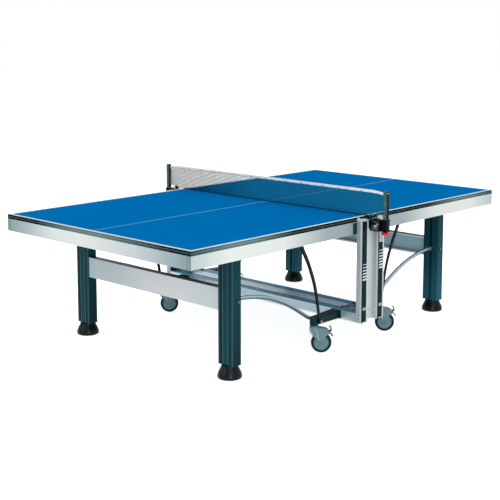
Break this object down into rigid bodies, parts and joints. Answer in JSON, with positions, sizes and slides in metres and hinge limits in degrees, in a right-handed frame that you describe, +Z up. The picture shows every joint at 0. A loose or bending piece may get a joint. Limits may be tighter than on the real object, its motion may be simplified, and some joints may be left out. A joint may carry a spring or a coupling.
{
  "type": "table tennis table",
  "caption": "Two-part folding table tennis table on a wheeled centre chassis, with channelled legs, curved fold links, caster wheels, net posts and a net.",
  "frame": {"origin": "on the floor, under the middle of the net", "axes": "+X along the table's length, +Y across it along the net, +Z up"},
  "size_m": [2.74, 1.836, 0.9125],
  "materials": {
    "blue_board": "matt blue playing surface with white lines and a dark teal edge band",
    "silver_apron": "satin silver paint, black plate at the inner end",
    "silver_frame": "satin silver paint",
    "teal_leg": "dark teal semi-gloss extrusion",
    "black_metal": "black semi-gloss powder coat",
    "bright_metal": "bright zinc plate",
    "bright_tube": "satin silver tube",
    "black_foot": "gloss black moulding",
    "grey_plastic": "grey moulding",
    "wheel_rubber": "dark tread on a grey hub",
    "dark_plastic": "dark moulding",
    "net_mesh": "open dark mesh with a white top tape",
    "red_knob": "red moulded knob"
  },
  "bodies": {
    "chassis": {"cross_beam": "silver_frame", "centre_panel_left": "silver_frame", "net_post_left": "black_metal", "centre_panel_right": "silver_frame", "net_post_right": "black_metal", "net": "net_mesh", "near_post_left": "silver_frame", "near_arm_left": "black_metal", "near_post_right": "silver_frame", "near_arm_right": "black_metal", "far_post_left": "silver_frame", "far_arm_left": "black_metal", "far_post_right": "silver_frame", "far_arm_right": "black_metal"},
    "near_carriage": {"near_sliders": "bright_metal"},
    "near_top": {"near_board": "blue_board", "near_side_apron_left": "silver_apron", "near_side_apron_right": "silver_apron", "near_end_apron": "silver_apron", "near_leg_shaft": "black_metal"},
    "near_legs": {"near_leg_left": "teal_leg", "near_leg_right": "teal_leg", "near_leg_beam": "silver_frame"},
    "near_links": {"near_link_left": "black_metal", "near_link_right": "black_metal"},
    "near_stays": {"near_stay_left": "bright_tube", "near_stay_right": "bright_tube"},
    "near_foot_left": {"near_foot_left": "black_foot"},
    "near_caster_left_swivel": {"near_caster_fork_left": "grey_plastic"},
    "near_caster_left_wheel": {"near_caster_wheel_left": "wheel_rubber"},
    "near_caster_left_brake": {"near_caster_pedal_left": "dark_plastic"},
    "near_foot_right": {"near_foot_right": "black_foot"},
    "near_caster_right_swivel": {"near_caster_fork_right": "grey_plastic"},
    "near_caster_right_wheel": {"near_caster_wheel_right": "wheel_rubber"},
    "near_caster_right_brake": {"near_caster_pedal_right": "dark_plastic"},
    "far_carriage": {"far_sliders": "bright_metal"},
    "far_top": {"far_board": "blue_board", "far_side_apron_left": "silver_apron", "far_side_apron_right": "silver_apron", "far_end_apron": "silver_apron", "far_leg_shaft": "black_metal"},
    "far_legs": {"far_leg_left": "teal_leg", "far_leg_right": "teal_leg", "far_leg_beam": "silver_frame"},
    "far_links": {"far_link_left": "black_metal", "far_link_right": "black_metal"},
    "far_stays": {"far_stay_left": "bright_tube", "far_stay_right": "bright_tube"},
    "far_foot_left": {"far_foot_left": "black_foot"},
    "far_caster_left_swivel": {"far_caster_fork_left": "grey_plastic"},
    "far_caster_left_wheel": {"far_caster_wheel_left": "wheel_rubber"},
    "far_caster_left_brake": {"far_caster_pedal_left": "dark_plastic"},
    "far_foot_right": {"far_foot_right": "black_foot"},
    "far_caster_right_swivel": {"far_caster_fork_right": "grey_plastic"},
    "far_caster_right_wheel": {"far_caster_wheel_right": "wheel_rubber"},
    "far_caster_right_brake": {"far_caster_pedal_right": "dark_plastic"},
    "release_left": {"release_handle_left": "black_metal"},
    "release_right": {"release_handle_right": "black_metal"},
    "net_knob_left": {"net_knob_left": "red_knob"},
    "net_knob_right": {"net_knob_right": "red_knob"}
  },
  "joints": [
    {"name": "near_drop", "type": "slide", "parent": "chassis", "child": "near_carriage", "axis": [0, 0, -1], "range_m": [0, 0.445]},
    {"name": "near_fold", "type": "hinge", "parent": "near_carriage", "child": "near_top", "pos_m": [-0.075, 0, 0.745], "axis": [0, 1, 0], "range_deg": [0, 90]},
    {"name": "near_leg_swing", "type": "hinge", "parent": "near_top", "child": "near_legs", "pos_m": [-0.94, 0, 0.695], "axis": [0, 1, 0], "range_deg": [-70, 0]},
    {"name": "near_link_swing", "type": "hinge", "parent": "near_top", "child": "near_links", "pos_m": [-0.48088, 0, 0.7], "axis": [0, 1, 0], "range_deg": [-51.59, 0]},
    {"name": "near_stay_swing", "type": "hinge", "parent": "chassis", "child": "near_stays", "pos_m": [-0.25316, 0, 0.18], "axis": [0, 1, 0], "range_deg": [0, 74.24]},
    {"name": "near_foot_left_turn", "type": "hinge", "parent": "near_legs", "child": "near_foot_left", "pos_m": [-0.94, 0.597, 0.04], "axis": [0, 0, 1], "continuous": true},
    {"name": "near_caster_left_turn", "type": "hinge", "parent": "chassis", "child": "near_caster_left_swivel", "pos_m": [-0.3, 0.635, 0.15], "axis": [0, 0, 1], "continuous": true},
    {"name": "near_caster_left_roll", "type": "hinge", "parent": "near_caster_left_swivel", "child": "near_caster_left_wheel", "pos_m": [-0.27259, 0.60587, 0.058], "axis": [0.7283, 0.6853, 0], "continuous": true},
    {"name": "near_caster_left_press", "type": "hinge", "parent": "near_caster_left_swivel", "child": "near_caster_left_brake", "pos_m": [-0.24244, 0.57382, 0.12], "axis": [0.7283, 0.6853, 0], "range_deg": [0, 12]},
    {"name": "near_foot_right_turn", "type": "hinge", "parent": "near_legs", "child": "near_foot_right", "pos_m": [-0.94, -0.597, 0.04], "axis": [0, 0, 1], "continuous": true},
    {"name": "near_caster_right_turn", "type": "hinge", "parent": "chassis", "child": "near_caster_right_swivel", "pos_m": [-0.3, -0.635, 0.15], "axis": [0, 0, 1], "continuous": true},
    {"name": "near_caster_right_roll", "type": "hinge", "parent": "near_caster_right_swivel", "child": "near_caster_right_wheel", "pos_m": [-0.27259, -0.66413, 0.058], "axis": [0.7283, 0.6853, 0], "continuous": true},
    {"name": "near_caster_right_press", "type": "hinge", "parent": "near_caster_right_swivel", "child": "near_caster_right_brake", "pos_m": [-0.24244, -0.69618, 0.12], "axis": [0.7283, 0.6853, 0], "range_deg": [0, 12]},
    {"name": "far_drop", "type": "slide", "parent": "chassis", "child": "far_carriage", "axis": [0, 0, -1], "range_m": [0, 0.445]},
    {"name": "far_fold", "type": "hinge", "parent": "far_carriage", "child": "far_top", "pos_m": [0.075, 0, 0.745], "axis": [0, -1, 0], "range_deg": [0, 90]},
    {"name": "far_leg_swing", "type": "hinge", "parent": "far_top", "child": "far_legs", "pos_m": [0.94, 0, 0.695], "axis": [0, -1, 0], "range_deg": [-70, 0]},
    {"name": "far_link_swing", "type": "hinge", "parent": "far_top", "child": "far_links", "pos_m": [0.48088, 0, 0.7], "axis": [0, -1, 0], "range_deg": [-51.59, 0]},
    {"name": "far_stay_swing", "type": "hinge", "parent": "chassis", "child": "far_stays", "pos_m": [0.25316, 0, 0.18], "axis": [0, -1, 0], "range_deg": [0, 74.24]},
    {"name": "far_foot_left_turn", "type": "hinge", "parent": "far_legs", "child": "far_foot_left", "pos_m": [0.94, 0.597, 0.04], "axis": [0, 0, 1], "continuous": true},
    {"name": "far_caster_left_turn", "type": "hinge", "parent": "chassis", "child": "far_caster_left_swivel", "pos_m": [0.3, 0.635, 0.15], "axis": [0, 0, 1], "continuous": true},
    {"name": "far_caster_left_roll", "type": "hinge", "parent": "far_caster_left_swivel", "child": "far_caster_left_wheel", "pos_m": [0.32741, 0.60587, 0.058], "axis": [0.7283, 0.6853, 0], "continuous": true},
    {"name": "far_caster_left_press", "type": "hinge", "parent": "far_caster_left_swivel", "child": "far_caster_left_brake", "pos_m": [0.35756, 0.57382, 0.12], "axis": [0.7283, 0.6853, 0], "range_deg": [0, 12]},
    {"name": "far_foot_right_turn", "type": "hinge", "parent": "far_legs", "child": "far_foot_right", "pos_m": [0.94, -0.597, 0.04], "axis": [0, 0, 1], "continuous": true},
    {"name": "far_caster_right_turn", "type": "hinge", "parent": "chassis", "child": "far_caster_right_swivel", "pos_m": [0.3, -0.635, 0.15], "axis": [0, 0, 1], "continuous": true},
    {"name": "far_caster_right_roll", "type": "hinge", "parent": "far_caster_right_swivel", "child": "far_caster_right_wheel", "pos_m": [0.32741, -0.66413, 0.058], "axis": [0.7283, 0.6853, 0], "continuous": true},
    {"name": "far_caster_right_press", "type": "hinge", "parent": "far_caster_right_swivel", "child": "far_caster_right_brake", "pos_m": [0.35756, -0.69618, 0.12], "axis": [0.7283, 0.6853, 0], "range_deg": [0, 12]},
    {"name": "release_left_pull", "type": "slide", "parent": "chassis", "child": "release_left", "axis": [0, -1, 0], "range_m": [0, 0.012]},
    {"name": "release_right_pull", "type": "slide", "parent": "chassis", "child": "release_right", "axis": [0, 1, 0], "range_m": [0, 0.012]},
    {"name": "net_knob_left_turn", "type": "hinge", "parent": "chassis", "child": "net_knob_left", "pos_m": [0, 0.897, 0.665], "axis": [0, 0, 1], "continuous": true},
    {"name": "net_knob_right_turn", "type": "hinge", "parent": "chassis", "child": "net_knob_right", "pos_m": [0, -0.897, 0.665], "axis": [0, 0, 1], "continuous": true}
  ],
  "couplings": [
    {"joint": "near_drop", "follows": "near_fold", "m_per_rad": 0.2833},
    {"joint": "near_leg_swing", "follows": "near_fold", "ratio": -0.77778},
    {"joint": "near_link_swing", "follows": "near_fold", "ratio": -0.57317},
    {"joint": "near_stay_swing", "follows": "near_fold", "ratio": 0.82488},
    {"joint": "far_drop", "follows": "far_fold", "m_per_rad": 0.2833},
    {"joint": "far_leg_swing", "follows": "far_fold", "ratio": -0.77778},
    {"joint": "far_link_swing", "follows": "far_fold", "ratio": -0.57317},
    {"joint": "far_stay_swing", "follows": "far_fold", "ratio": 0.82488}
  ]
}
